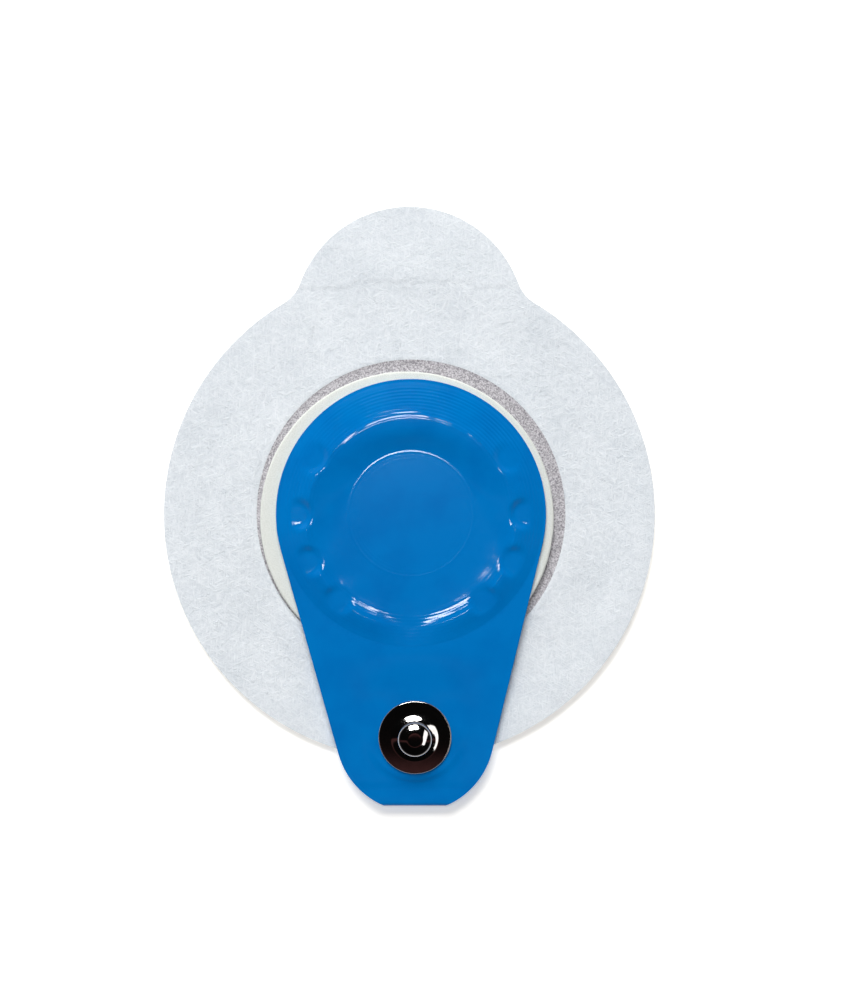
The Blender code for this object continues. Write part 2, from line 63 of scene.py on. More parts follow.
# Camera, table and lamps. The electrode lies on a white table and is seen from straight above. Three wide
# lamps give even light from behind, from the left and from below, and two soft boxes show as reflections,
# the right one in the stud alone. Overhead it is dark, so that flat metal mirrors black.
PIXEL = 0.1125 * mm
IMAGE_HEIGHT = 1000
VIEW_CENTRE = (1.575 * mm, 1.575 * mm)
CAMERA_DISTANCE = 260 * mm
TABLE_GAP = 0.02 * mm
TABLE_REACH = 2.0
TABLE_PAINT = (0.89, 0.87, 0.83)
TABLE_GLOW = 0.36
GLOW_START = 0.12
GLOW_END = 0.4
WALL_STOPS = [(0.15, (0.5, 0.5, 0.52)), (0.5, (0.2, 0.2, 0.21)), (0.85, (0.003, 0.003, 0.003))]
WARM_STOPS = [
    (0.111, (0.0, 0.0, 0.0)),
    (0.115, (0.065, 0.023, 0.023)),
    (0.14, (0.05, 0.02, 0.02)),
    (0.16, (0.0, 0.0, 0.0)),
]
fabric_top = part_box("backing_disc")[1].z

camera = bpy.data.objects.new("camera", bpy.data.cameras.new("camera"))
camera.data.lens = camera.data.sensor_width * CAMERA_DISTANCE / (IMAGE_HEIGHT * PIXEL)
camera.data.clip_start = 10 * mm
camera.location = (*VIEW_CENTRE, fabric_top + CAMERA_DISTANCE)
bpy.context.scene.collection.objects.link(camera)
bpy.context.scene.camera = camera
bpy.context.scene.view_settings.view_transform = "Standard"


def soft_box(name, bearing, from_zenith, distance, width, height, power):
    """An area lamp aimed at the electrode. Angles in degrees, the bearing from +X towards +Y."""
    lamp = bpy.data.lights.new(name, "AREA")
    lamp.shape = "RECTANGLE"
    lamp.size = width
    lamp.size_y = height
    lamp.energy = power
    obj = bpy.data.objects.new(name, lamp)
    turn = math.radians(bearing)
    tilt = math.radians(from_zenith)
    away = Vector((math.cos(turn) * math.sin(tilt), math.sin(turn) * math.sin(tilt), math.cos(tilt)))
    obj.location = away * distance
    obj.rotation_mode = "QUATERNION"
    obj.rotation_quaternion = away.to_track_quat("Z", "Y")
    bpy.context.scene.collection.objects.link(obj)
    return obj


# Bearing, angle from overhead, distance, width and height in metres, power in watts.
for lamp in (
    soft_box("wide_lamp", 99, 44, 0.7, 0.42, 0.3, 5.1),
    soft_box("side_lamp", 178, 58, 0.7, 0.3, 0.3, 0.5),
    soft_box("under_lamp", 0, 180, 0.6, 0.8, 0.8, 3.2),
):
    lamp.visible_glossy = False
soft_box("back_box", 102, 9, 0.6, 0.12, 0.09, 0.68)
right_box = soft_box("right_box", -22, 13, 0.6, 0.2, 0.06, 0.075)


def add_node(tree, kind, **settings):
    node = tree.nodes.new(kind)
    for key, value in settings.items():
        setattr(node, key, value)
    return node


def combine(tree, operation, first, second):
    """A sum, product or the like of two values, each an output or a float."""
    node = add_node(tree, "ShaderNodeMath", operation=operation)
    for socket, value in zip(node.inputs, (first, second)):
        if isinstance(value, float):
            socket.default_value = value
        else:
            tree.links.new(value, socket)
    return node.outputs[0]


def shades(tree, factor, stops):
    """Colours along the factor, from (position, colour) stops."""
    ramp = add_node(tree, "ShaderNodeValToRGB")
    elements = ramp.color_ramp.elements
    while len(elements) < len(stops):
        elements.new(0.5)
    for element, (position, colour) in zip(elements, stops):
        element.position = position
        element.color = (*colour, 1.0)
    tree.links.new(factor, ramp.inputs[0])
    return ramp.outputs[0]


def finish(name, roughness, metallic=0.0):
    """A new material, its node tree and its shader."""
    material = bpy.data.materials.new(name)
    material.use_nodes = True
    shader = material.node_tree.nodes["Principled BSDF"]
    shader.inputs["Roughness"].default_value = roughness
    shader.inputs["Metallic"].default_value = metallic
    return material, material.node_tree, shader


world = bpy.data.worlds.new("studio")
world.use_nodes = True
bpy.context.scene.world = world
sky = world.node_tree
split = add_node(sky, "ShaderNodeSeparateXYZ")
sky.links.new(add_node(sky, "ShaderNodeTexCoord").outputs["Generated"], split.inputs[0])
walls = shades(sky, split.outputs["Z"], WALL_STOPS)
warm = shades(sky, combine(sky, "MULTIPLY", split.outputs["Y"], -1.0), WARM_STOPS)
both = add_node(sky, "ShaderNodeMix", data_type="RGBA", blend_type="ADD")
both.inputs[0].default_value = 1.0
sky.links.new(walls, both.inputs[6])
sky.links.new(warm, both.inputs[7])
backdrop = add_node(sky, "ShaderNodeMix", data_type="RGBA")
backdrop.inputs[7].default_value = (1.0, 1.0, 1.0, 1.0)
sky.links.new(add_node(sky, "ShaderNodeLightPath").outputs["Is Camera Ray"], backdrop.inputs[0])
sky.links.new(both.outputs[2], backdrop.inputs[6])
sky.links.new(backdrop.outputs[2], sky.nodes["Background"].inputs["Color"])

# The table glows where it is seen, brighter far out, and it is clear from below and to shadow rays.
table_mesh = bpy.data.meshes.new("table")
table_corners = [(x * TABLE_REACH, y * TABLE_REACH, 0) for x, y in ((-1, -1), (1, -1), (1, 1), (-1, 1))]
table_mesh.from_pydata(table_corners, [], [(0, 1, 2, 3)])
table = bpy.data.objects.new("table", table_mesh)
table.location.z = cad_box[0].z - TABLE_GAP
bpy.context.scene.collection.objects.link(table)
white, tree, paint = finish("white_table", 0.9)
paint.inputs["Base Color"].default_value = (*TABLE_PAINT, 1.0)
paint.inputs["Specular IOR Level"].default_value = 0.0
paint.inputs["Emission Color"].default_value = (1.0, 1.0, 1.0, 1.0)
path = add_node(tree, "ShaderNodeLightPath")
seen = combine(tree, "MAXIMUM", path.outputs["Is Camera Ray"], path.outputs["Is Glossy Ray"])
from_middle = add_node(tree, "ShaderNodeVectorMath", operation="LENGTH")
tree.links.new(add_node(tree, "ShaderNodeTexCoord").outputs["Object"], from_middle.inputs[0])
glow = add_node(tree, "ShaderNodeMapRange")
glow_limits = {"From Min": GLOW_START, "From Max": GLOW_END, "To Min": TABLE_GLOW, "To Max": 1.0}
for socket, value in glow_limits.items():
    glow.inputs[socket].default_value = value
tree.links.new(from_middle.outputs["Value"], glow.inputs["Value"])
tree.links.new(combine(tree, "MULTIPLY", seen, glow.outputs[0]), paint.inputs["Emission Strength"])
backfacing = add_node(tree, "ShaderNodeNewGeometry").outputs["Backfacing"]
hidden = combine(tree, "MAXIMUM", backfacing, path.outputs["Is Shadow Ray"])
clear = add_node(tree, "ShaderNodeBsdfTransparent")
either = add_node(tree, "ShaderNodeMixShader")
tree.links.new(hidden, either.inputs[0])
tree.links.new(paint.outputs[0], either.inputs[1])
tree.links.new(clear.outputs[0], either.inputs[2])
tree.links.new(either.outputs[0], tree.nodes["Material Output"].inputs["Surface"])
table_mesh.materials.append(white)

# Nonwoven backing. A white sheet of short bonded fibres, die-cut to a disc with a pull tab, with the
# gel well punched out of its middle and a band round the well pressed thin and grey. It has lain in a
# bag, so its edge lifts a little from the table, and it steps up where the strip lies under the tab.
DISC_RADIUS = 27.6 * mm
TAB_RADIUS = 13.05 * mm
TAB_CENTRE_Y = 21.5 * mm
TAB_FILLET = 4.5 * mm
BACKING_OFFSET_X = -0.2 * mm
WELL_RADIUS = 9.6 * mm
WELL_STEP = 0.5 * mm
BAND_RADIUS = 17.37 * mm
BAND_PRESS = 0.1 * mm
BAND_SLOPE = 0.15 * mm
FABRIC_PITCH = 0.3 * mm
EDGE_STEP = 0.35 * mm
EDGE_LIFT = 0.45 * mm
LIFT_START = 19 * mm
CREASE_SIDE_Y = 25.3 * mm
CREASE_MIDDLE_Y = 26.0 * mm
CREASE_HALF = 6.7 * mm
CREASE_BEND = 1.2 * mm
CREASE_WIDTH = 0.22 * mm
TAB_RAISE = 0.05 * mm
TAB_SLOPE = 0.5 * mm
FABRIC_WHITE = (0.82, 0.855, 0.885)
FABRIC_SHADE = (0.62, 0.665, 0.705)
FABRIC_GRAIN = (0.7 * mm, 0.16 * mm, 1 * mm)
FABRIC_TURNS = (0.4, 1.5, 2.6)
BAND_LIGHT = (0.66, 0.64, 0.67)
BAND_DARK = (0.225, 0.215, 0.235)
FIBRE_SEED = 11
FIBRE_COUNT = 3200
FIBRE_RADIUS = 0.013 * mm
FIBRE_BEND = 0.9
FIBRE_LENGTHS = (0.6, 1.9)
FIBRE_LIFTS = (-1.0, 0.6, 1.0, 0.6, -1.0)
SMOOTH_ANGLE = math.radians(50)
fabric_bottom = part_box("backing_disc")[0].z


def smooth(share):
    """0 to 1 with level ends."""
    share = np.clip(share, 0.0, 1.0)
    return share * share * (3 - 2 * share)


def bell(distance, width):
    """1 at no distance, falling to nothing on both sides."""
    return np.exp(-((distance / width) ** 2))


def arc(centre, radius, start, end, step):
    """Points along an arc about the given distance apart, both ends included."""
    steps = max(2, round(abs(end - start) * radius / step))
    angles = np.linspace(start, end, steps + 1)
    return [(centre[0] + radius * math.cos(a), centre[1] + radius * math.sin(a)) for a in angles]


def circle(centre, radius, step):
    return arc(centre, radius, 0.0, math.tau, step)[:-1]


def die_line(step):
    """The backing's outline, anticlockwise: a fillet, the tab, a fillet and the disc."""
    disc_reach = DISC_RADIUS + TAB_FILLET
    tab_reach = TAB_RADIUS + TAB_FILLET
    fillet_y = (TAB_CENTRE_Y**2 + disc_reach**2 - tab_reach**2) / (2 * TAB_CENTRE_Y)
    fillet_x = math.sqrt(disc_reach**2 - fillet_y**2)
    disc_angle = math.atan2(fillet_y, fillet_x)
    tab_angle = math.atan2(fillet_y - TAB_CENTRE_Y, fillet_x)
    right = (BACKING_OFFSET_X + fillet_x, fillet_y)
    left = (BACKING_OFFSET_X - fillet_x, fillet_y)
    line = arc(right, TAB_FILLET, math.pi + disc_angle, math.pi + tab_angle, step)[:-1]
    line += arc((BACKING_OFFSET_X, TAB_CENTRE_Y), TAB_RADIUS, tab_angle, math.pi - tab_angle, step)[:-1]
    line += arc(left, TAB_FILLET, -tab_angle, -disc_angle, step)[:-1]
    line += arc((BACKING_OFFSET_X, 0.0), DISC_RADIUS, math.pi - disc_angle, math.tau + disc_angle, step)[:-1]
    return line


def inside(points, loop):
    """Which points lie inside the loop."""
    x, y = points[:, 0], points[:, 1]
    found = np.zeros(len(points), bool)
    for (x0, y0), (x1, y1) in zip(loop, loop[1:] + loop[:1]):
        if y0 != y1:
            crosses = (y0 > y) != (y1 > y)
            found ^= crosses & (x < x0 + (y - y0) * (x1 - x0) / (y1 - y0))
    return found


def between(points, outline, holes):
    """Which points lie inside the outline and outside the holes."""
    kept = inside(points, outline)
    for hole in holes:
        kept &= ~inside(points, hole)
    return kept


def cut_sheet(outline, holes, pitch, marks=()):
    """A flat sheet as points and triangles: its cut lines and marks, filled with evenly spaced points."""
    low, high = np.min(outline, axis=0), np.max(outline, axis=0)
    rows = np.arange(low[1], high[1], pitch * math.sqrt(3) / 2)
    columns = np.arange(low[0], high[0], pitch)
    grid = np.array([(x + pitch / 2 * (i % 2), y) for i, y in enumerate(rows) for x in columns])
    grid = grid[between(grid, outline, holes)]
    loops = [outline, *holes, *marks]
    batch = 4000
    for loop in loops:
        line = np.array(loop)
        for start in range(0, len(grid), batch):
            some = grid[start : start + batch]
            near = np.hypot(*(some[:, None] - line[None]).T).min(axis=0)
            some[near < pitch / 2] = np.nan
        grid = grid[~np.isnan(grid[:, 0])]
    edges, first = [], 0
    for loop in loops:
        edges += [(first + i, first + (i + 1) % len(loop)) for i in range(len(loop))]
        first += len(loop)
    points = [Vector(p) for loop in loops for p in loop] + [Vector(p) for p in grid]
    verts, _, faces, *_ = delaunay_2d_cdt(points, edges, [], 0, 1e-9, False)
    verts = np.array([tuple(v) for v in verts])
    faces = np.array(faces)
    return verts, faces[between(verts[faces].mean(axis=1), outline, holes)]


def place(name, mesh):
    """A piece with this mesh, shaded smooth but for its sharp edges."""
    mesh.shade_smooth()
    mesh.set_sharp_from_angle(angle=SMOOTH_ANGLE)
    obj = bpy.data.objects.new(name, mesh)
    bpy.context.scene.collection.objects.link(obj)
    return obj


def thick_sheet(name, cut, top, bottom):
    """A closed sheet between two levels, each a number or a function of x and y."""
    points, faces = cut
    x, y = points.T
    count = len(points)
    levels = [level(x, y) if callable(level) else np.full(count, level) for level in (top, bottom)]
    verts = np.concatenate([np.column_stack([x, y, z]) for z in levels])
    sides = np.concatenate([faces[:, [0, 1]], faces[:, [1, 2]], faces[:, [2, 0]]])
    pairs = {tuple(side) for side in sides.tolist()}
    rim = [(b, a, a + count, b + count) for a, b in pairs if (b, a) not in pairs]
    lower = (faces[:, ::-1] + count).tolist()
    mesh = bpy.data.meshes.new(name)
    mesh.from_pydata(verts.tolist(), [], faces.tolist() + lower + rim)
    return place(name, mesh)


def edge_lift(x, y):
    """How far the sheet stands off the table: most at the lower right, least at the upper left."""
    out = smooth((np.hypot(x - BACKING_OFFSET_X, y) - LIFT_START) / (DISC_RADIUS - LIFT_START))
    angle = np.arctan2(y, x)
    wave = 0.5 + 0.42 * np.cos(angle + 0.5) + 0.08 * np.cos(3 * angle + 1.0)
    return EDGE_LIFT * out * out * wave


def tab_rise(x, y):
    """The step over the strip's end, which lies a little higher in its middle, and the crease along it."""
    middle = smooth((CREASE_HALF - np.abs(x)) / CREASE_BEND + 0.5)
    line = CREASE_SIDE_Y + (CREASE_MIDDLE_Y - CREASE_SIDE_Y) * middle
    groove = bell(y - line, CREASE_WIDTH)
    return TAB_RAISE * smooth((y - line) / TAB_SLOPE + 0.5) - 0.6 * TAB_RAISE * groove


def mottle(x, y, size, height):
    """Random relief with lumps of the given size."""
    return np.array([noise.noise((a / size, b / size, 7.3)) for a, b in zip(x, y)]) * height


def fabric_face(x, y):
    """The lofty upper face, pressed flat on the band."""
    radius = np.hypot(x, y)
    pressed = 1 - smooth((radius - BAND_RADIUS) / BAND_SLOPE + 0.5)
    loft = mottle(x, y, size=0.9 * mm, height=0.022 * mm) + mottle(x, y, size=0.42 * mm, height=0.02 * mm)
    rise = edge_lift(x, y) + tab_rise(x, y)
    return fabric_top + rise - BAND_PRESS * pressed + loft * (1 - 0.8 * pressed)


def fabric_back(x, y):
    return fabric_bottom + edge_lift(x, y) + TAB_RAISE * smooth((y - CREASE_SIDE_Y) / TAB_SLOPE)


def grain(tree, size, turn=0.0, detail=2.0, rough=0.5):
    """Noise with grains of one size, or of a length, width and depth turned about +Z."""
    coordinates = add_node(tree, "ShaderNodeTexCoord").outputs["Object"]
    spread = add_node(tree, "ShaderNodeMapping", vector_type="TEXTURE")
    spread.inputs["Rotation"].default_value = (0.0, 0.0, turn)
    spread.inputs["Scale"].default_value = size if isinstance(size, tuple) else (size, size, size)
    cloud = add_node(tree, "ShaderNodeTexNoise")
    cloud.inputs["Scale"].default_value = 1.0
    cloud.inputs["Detail"].default_value = detail
    cloud.inputs["Roughness"].default_value = rough
    tree.links.new(coordinates, spread.inputs["Vector"])
    tree.links.new(spread.outputs["Vector"], cloud.inputs["Vector"])
    return cloud.outputs[0]


def tint(tree, shader, factor, *stops):
    """Base colours along the factor, from (position, colour) stops."""
    tree.links.new(shades(tree, factor, stops), shader.inputs["Base Color"])


def relief(tree, shader, height, depth):
    """Fine relief that only the shading shows."""
    bump = add_node(tree, "ShaderNodeBump")
    bump.inputs["Distance"].default_value = depth
    tree.links.new(height, bump.inputs["Height"])
    tree.links.new(bump.outputs[0], shader.inputs["Normal"])


nonwoven, tree, shader = finish("nonwoven", 0.9)
shader.inputs["Sheen Weight"].default_value = 0.15
fibres_seen = grain(tree, FABRIC_GRAIN, FABRIC_TURNS[0])
for turn in FABRIC_TURNS[1:]:
    fibres_seen = combine(tree, "MAXIMUM", fibres_seen, grain(tree, FABRIC_GRAIN, turn))
clouds = grain(tree, 6 * mm)
mix = combine(tree, "ADD", fibres_seen, combine(tree, "MULTIPLY", clouds, 0.35))
tint(tree, shader, mix, (0.55, FABRIC_SHADE), (0.95, FABRIC_WHITE))
relief(tree, shader, fibres_seen, 0.09 * mm)

pressed, tree, shader = finish("pressed_band", 0.75)
specks = grain(tree, (0.17 * mm, 0.17 * mm, 1 * mm), detail=3.0, rough=0.7)
tint(tree, shader, specks, (0.38, BAND_DARK), (0.62, BAND_LIGHT))
relief(tree, shader, specks, 0.05 * mm)

outline = die_line(EDGE_STEP)
well = circle((0.0, 0.0), WELL_RADIUS, WELL_STEP)
press_line = circle((0.0, 0.0), BAND_RADIUS, EDGE_STEP)
sheet = cut_sheet(outline, [well], FABRIC_PITCH, [press_line])
backing = thick_sheet("backing", sheet, fabric_face, fabric_back)
backing.data.materials.append(nonwoven)
backing.data.materials.append(pressed)
for face in backing.data.polygons:
    if math.hypot(face.center.x, face.center.y) < BAND_RADIUS and face.normal.z > 0:
        face.material_index = 1

fibre_curve = bpy.data.curves.new("backing_fibres", "CURVE")
fibre_curve.dimensions = "3D"
fibre_curve.bevel_depth = FIBRE_RADIUS
fibre_curve.bevel_resolution = 0
fibre_curve.use_fill_caps = True
dice = random.Random(FIBRE_SEED)
bits = len(FIBRE_LIFTS) - 1
scattered = []
while len(scattered) < FIBRE_COUNT:
    x = dice.uniform(-DISC_RADIUS, DISC_RADIUS)
    y = dice.uniform(-DISC_RADIUS, TAB_CENTRE_Y + TAB_RADIUS)
    heading = dice.uniform(0.0, math.pi)
    bend = dice.uniform(-FIBRE_BEND, FIBRE_BEND)
    length = dice.uniform(*FIBRE_LENGTHS) * mm
    run = [(x, y)]
    for i in range(bits):
        turned_to = heading + bend * (i / (bits - 1) - 0.5)
        x, y = run[-1]
        run.append((x + length / bits * math.cos(turned_to), y + length / bits * math.sin(turned_to)))
    if min(math.hypot(*run[0]), math.hypot(*run[-1])) > BAND_RADIUS - 0.1 * mm:
        scattered.append(run)
starts_in, ends_in = (inside(np.array([run[end] for run in scattered]), outline) for end in (0, -1))
for run, whole in zip(scattered, starts_in & ends_in):
    if whole:
        xs, ys = np.array(run).T
        zs = fabric_face(xs, ys) + FIBRE_RADIUS * np.array(FIBRE_LIFTS)
        spline = fibre_curve.splines.new("POLY")
        spline.points.add(len(run) - 1)
        for point, x, y, z in zip(spline.points, xs, ys, zs):
            point.co = (x, y, z, 1.0)
fibre_curve.materials.append(nonwoven)
backing_fibres = bpy.data.objects.new("backing_fibres", fibre_curve)
bpy.context.scene.collection.objects.link(backing_fibres)

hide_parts("backing_disc")
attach(backing, "root")
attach(backing_fibres, "root")
points, faces = sheet

# Adhesive coat and tab strip. The underside of the backing is coated with a clear skin adhesive, from
# the pressed band to the edge. A thin smooth strip covers the end of the tab, so that fingers can lift it.
STRIP_EDGE_Y = 25.6 * mm
COAT_PITCH = 0.9 * mm
glue_gap = 0.02 * mm


def keep_side(loop, y, above):
    """The part of a closed loop on one side of the line at y."""
    kept = []
    for (x0, y0), (x1, y1) in zip(loop, loop[1:] + loop[:1]):
        if (y0 >= y) == above:
            kept.append((x0, y0))
        if (y0 - y) * (y1 - y) < 0:
            kept.append((x0 + (y - y0) / (y1 - y0) * (x1 - x0), y))
    return kept


def coat_face(x, y):
    return fabric_back(x, y) - glue_gap


coarse = die_line(2 * EDGE_STEP)
coat_line = keep_side(coarse, STRIP_EDGE_Y, above=False)
coat = thick_sheet("skin_adhesive_coat", cut_sheet(coat_line, [press_line], COAT_PITCH), coat_face, edge_lift)
tacky, tree, shader = finish("clear_adhesive", 0.3)
streaks = grain(tree, (5 * mm, 0.5 * mm, 1 * mm), detail=3.0)
tint(tree, shader, streaks, (0.3, (0.70, 0.69, 0.62)), (0.7, (0.80, 0.79, 0.73)))
relief(tree, shader, streaks, 0.05 * mm)
coat.data.materials.append(tacky)
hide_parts("skin_adhesive")
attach(coat, "root")

strip_line = keep_side(coarse, STRIP_EDGE_Y + glue_gap, above=True)
strip = thick_sheet("tab_strip_film", cut_sheet(strip_line, [], COAT_PITCH), coat_face, edge_lift)
strip_film, tree, shader = finish("strip_film", 0.4)
clouds = grain(tree, 3 * mm, detail=4.0)
tint(tree, shader, clouds, (0.3, (0.76, 0.77, 0.78)), (0.7, (0.82, 0.83, 0.84)))
relief(tree, shader, clouds, 0.05 * mm)
strip.data.materials.append(strip_film)
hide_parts("tab_strip")
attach(strip, "root")

# Foam ring. A washer punched from fine closed-cell polyethylene foam, creamy white, stuck on the
# pressed band round the gel well, a little low and to the left. Its cut edge is slightly rounded.
RING_CENTRE = (-0.45 * mm, -0.5 * mm)
RING_RADIUS = 16.5 * mm
RING_BORE_RADIUS = 10.37 * mm
RING_ROUNDING = 0.25 * mm
RING_TOP_STEP = 0.5 * mm
RING_TOP_STEPS = 6
RING_FOOT_TUCK = 0.05 * mm
RING_FOOT_HEIGHT = 0.3 * mm
RING_SECTORS = 300
foam_bottom, foam_top = (corner.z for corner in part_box("foam_ring"))


def turned(name, profile, centre, sectors, closed=False):
    """A round piece from (radius, height) points. A point on the axis becomes one vertex."""
    body = bmesh.new()
    turns = [math.tau * i / sectors for i in range(sectors)]
    rings = []
    for radius, height in profile:
        if radius < 1e-9:
            ring = [body.verts.new((centre[0], centre[1], height))] * sectors
        else:
            spots = [(centre[0] + radius * math.cos(a), centre[1] + radius * math.sin(a)) for a in turns]
            ring = [body.verts.new((x, y, height)) for x, y in spots]
        rings.append(ring)
    pairs = list(zip(rings, rings[1:]))
    if closed:
        pairs.append((rings[-1], rings[0]))
    for upper, lower in pairs:
        for i in range(sectors):
            j = (i + 1) % sectors
            corners = [upper[i], lower[i], lower[j], upper[j]]
            body.faces.new(list(dict.fromkeys(corners)))
    mesh = bpy.data.meshes.new(name)
    bmesh.ops.recalc_face_normals(body, faces=body.faces)
    body.to_mesh(mesh)
    body.free()
    return place(name, mesh)


def round_profile(centre, radius, start, end, steps):
    """Arc points of (radius, height), with the angles in degrees."""
    angles = np.radians(np.linspace(start, end, steps + 1))
    return [(centre[0] + radius * math.cos(a), centre[1] + radius * math.sin(a)) for a in angles]


edge_centre = (RING_RADIUS - RING_ROUNDING, foam_top - RING_ROUNDING)
profile = [(RING_BORE_RADIUS, foam_bottom), (RING_BORE_RADIUS, foam_top)]
profile += [(RING_RADIUS - RING_ROUNDING - i * RING_TOP_STEP, foam_top) for i in range(RING_TOP_STEPS, 0, -1)]
profile += round_profile(edge_centre, RING_ROUNDING, 90, 0, 6)
profile += [(RING_RADIUS, foam_bottom + RING_FOOT_HEIGHT), (RING_RADIUS - RING_FOOT_TUCK, foam_bottom)]
ring = turned("foam_washer", profile, RING_CENTRE, RING_SECTORS, closed=True)
for vert in ring.data.vertices:
    away = Vector((vert.co.x - RING_CENTRE[0], vert.co.y - RING_CENTRE[1], 0.0))
    if away.length > RING_BORE_RADIUS + 1 * mm:
        vert.co += away.normalized() * noise.noise(vert.co / (1.3 * mm)) * 0.03 * mm
        if vert.co.z > foam_top - 0.3 * mm:
            vert.co.z -= 0.02 * mm + noise.noise(vert.co / (0.8 * mm)) * 0.02 * mm
foam, tree, shader = finish("foam", 0.75)
cells = grain(tree, 0.13 * mm)
tint(tree, shader, cells, (0.3, (0.655, 0.68, 0.63)), (0.6, (0.755, 0.775, 0.735)))
relief(tree, shader, cells, 0.03 * mm)
ring.data.materials.append(foam)
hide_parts("foam_ring")
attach(ring, "root")

# Gel sponge. A round of open-cell sponge, soaked with electrolyte gel, that fills the well from the
# skin up to the sensor. It stands in the well without glue and touches the skin with its open pores.
SPONGE_RADIUS = 9.4 * mm
SPONGE_EDGE = 0.4 * mm
SPONGE_STEP = 0.3 * mm
SPONGE_PITCH = 0.17 * mm
PORE_SIZE = 0.75 * mm
PORE_DEPTH = 0.16 * mm
STRUT_SHARE = 0.45
sponge_bottom, sponge_top = (corner.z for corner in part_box("gel_sponge"))


def sponge_face(x, y):
    """The skin face: level struts between open pores."""
    near = [noise.voronoi((a / PORE_SIZE, b / PORE_SIZE, 2.0))[0] for a, b in zip(x, y)]
    strut = np.array([f[1] - f[0] for f in near])
    edge = smooth((SPONGE_RADIUS - np.hypot(x, y)) / SPONGE_EDGE)
    return sponge_bottom + PORE_DEPTH * smooth(strut / STRUT_SHARE) * edge


sponge_cut = cut_sheet(circle((0.0, 0.0), SPONGE_RADIUS, SPONGE_STEP), [], SPONGE_PITCH)
sponge = thick_sheet("wet_sponge", sponge_cut, sponge_top, sponge_face)
wet, tree, shader = finish("wet_sponge", 0.18)
shader.inputs["Coat Weight"].default_value = 0.4
cells = grain(tree, 0.3 * mm, detail=3.0)
tint(tree, shader, cells, (0.3, (0.66, 0.66, 0.56)), (0.65, (0.80, 0.80, 0.71)))
relief(tree, shader, cells, 0.06 * mm)
sponge.data.materials.append(wet)
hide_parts("gel_sponge")
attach(sponge, "root")

# Sensor strip and eyelet. The strip is a film coated with silver and silver chloride, which turns it a
# dull grey. The eyelet is a pressed rivet with a silver coat. Its post is clinched inside the stud.
chloride, tree, shader = finish("silver_chloride", 0.5, 0.6)
blotches = grain(tree, (1.2 * mm, 0.5 * mm, 1 * mm), turn=0.7, detail=4.0)
tint(tree, shader, blotches, (0.3, (0.36, 0.35, 0.37)), (0.7, (0.52, 0.52, 0.53)))
relief(tree, shader, blotches, 0.02 * mm)
coated, tree, shader = finish("silver_coat", 0.35, 0.9)
blotches = grain(tree, 0.4 * mm, detail=4.0)
tint(tree, shader, blotches, (0.3, (0.52, 0.51, 0.50)), (0.7, (0.68, 0.68, 0.66)))
relief(tree, shader, blotches, 0.02 * mm)
for node, material in (("sensor_strip", chloride), ("stud_eyelet", coated)):
    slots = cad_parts[node].data.materials
    slots.clear()
    slots.append(material)

# Blue film cap. One sheet of film, vacuum-formed over a stepped mould: a crown with round dimples, and
# inside it a floor with a fine round bead. Its tongue carries the stud, and its end is folded back
# under as a flap.
CAP_RADIUS = 15.13 * mm
FOOT_RADIUS = 14.83 * mm
FOOT_CREASE = 0.008 * mm
FOOT_CREASE_WIDTH = 0.15 * mm
PEAK_RADIUS = 11.63 * mm
FLOOR_RADIUS = 7.23 * mm
FLOOR_HEIGHT = 0.2 * mm
CROWN_HEIGHT = 0.7 * mm
CROWN_TILT = 0.4
CROWN_ROUNDING = 0.75 * mm
CROWN_LEAN = 1 * mm
CROWN_SECTORS = 320
RIDGE_HEIGHT = 0.035 * mm
RIDGE_WIDTH = 0.6 * mm
SADDLE_HALF = 2.5 * mm
SADDLE_DEPTH = 0.46
NECK_RISE = 0.28 * mm
NECK_HALF = 7 * mm
BEAD_RADIUS = 7.0 * mm
BEAD_HEIGHT = 0.009 * mm
BEAD_WIDTH = 0.12 * mm
LINES_START = 5.9 * mm
LINES_END = 7.3 * mm
LINES_STEP = 0.36 * mm
LINES_DEPTH = 0.0012 * mm
MOULD_STEP = 0.38 * mm
STEP_START = 10.5 * mm
STEP_END = 14.5 * mm
STEP_DEPTH = 0.007 * mm
SADDLE_WEAR = 0.6
SLOPE_WEAR = 0.8
WOBBLE = 0.05 * mm
FINE_WOBBLE = 0.008 * mm
DIMPLE_CIRCLE = 12.66 * mm
DIMPLE_FLOOR_RADIUS = 1 * mm
DIMPLE_FLOOR_SLOPE = 0.24
DIMPLE_WALL = 1 * mm
DIMPLE_SHARE = 0.48
DIMPLE_ROUNDING = 0.06 * mm
DIMPLE_ANGLES = (0, 30, 59, 121, 150, 180, 205, 230, 310, 335)
FILM_THICKNESS = 0.3 * mm
TONGUE_X = 0.45 * mm
STUD_Y = -24.98 * mm
TONGUE_END_RADIUS = 8.9 * mm
TONGUE_END_Y = -24.48 * mm
TONGUE_WAVE = 0.05 * mm
FOLD_DIP = 0.03 * mm
FOLD_COLUMNS = 20
FOLD_STEPS = 14
FLAP_END_Y = -17.5 * mm
RIM_SLOPE = 0.12
SEAT_RADIUS = 4.7 * mm
SEAT_SLOPE = 0.45 * mm
SEAT_HEIGHT = 0.12 * mm
SEAT_HOLE_RADIUS = 1.5 * mm
POCKET_RADIUS = 3.7 * mm
POCKET_SLOPE = 1 * mm
FILM_PITCH = 0.33 * mm
FILM_BLUE = (0.0, 0.168, 0.505)
FILM_DEEP = (0.0, 0.145, 0.46)
film_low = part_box("top_film")[0]
film_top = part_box("snap_stud")[0].z - SEAT_HEIGHT - glue_gap
flap_bottom = foam_top - FILM_THICKNESS
pocket_depth = flap_bottom - film_low.z
fold_radius = (film_top - flap_bottom) / 2
bend_start_y = film_low.y + fold_radius


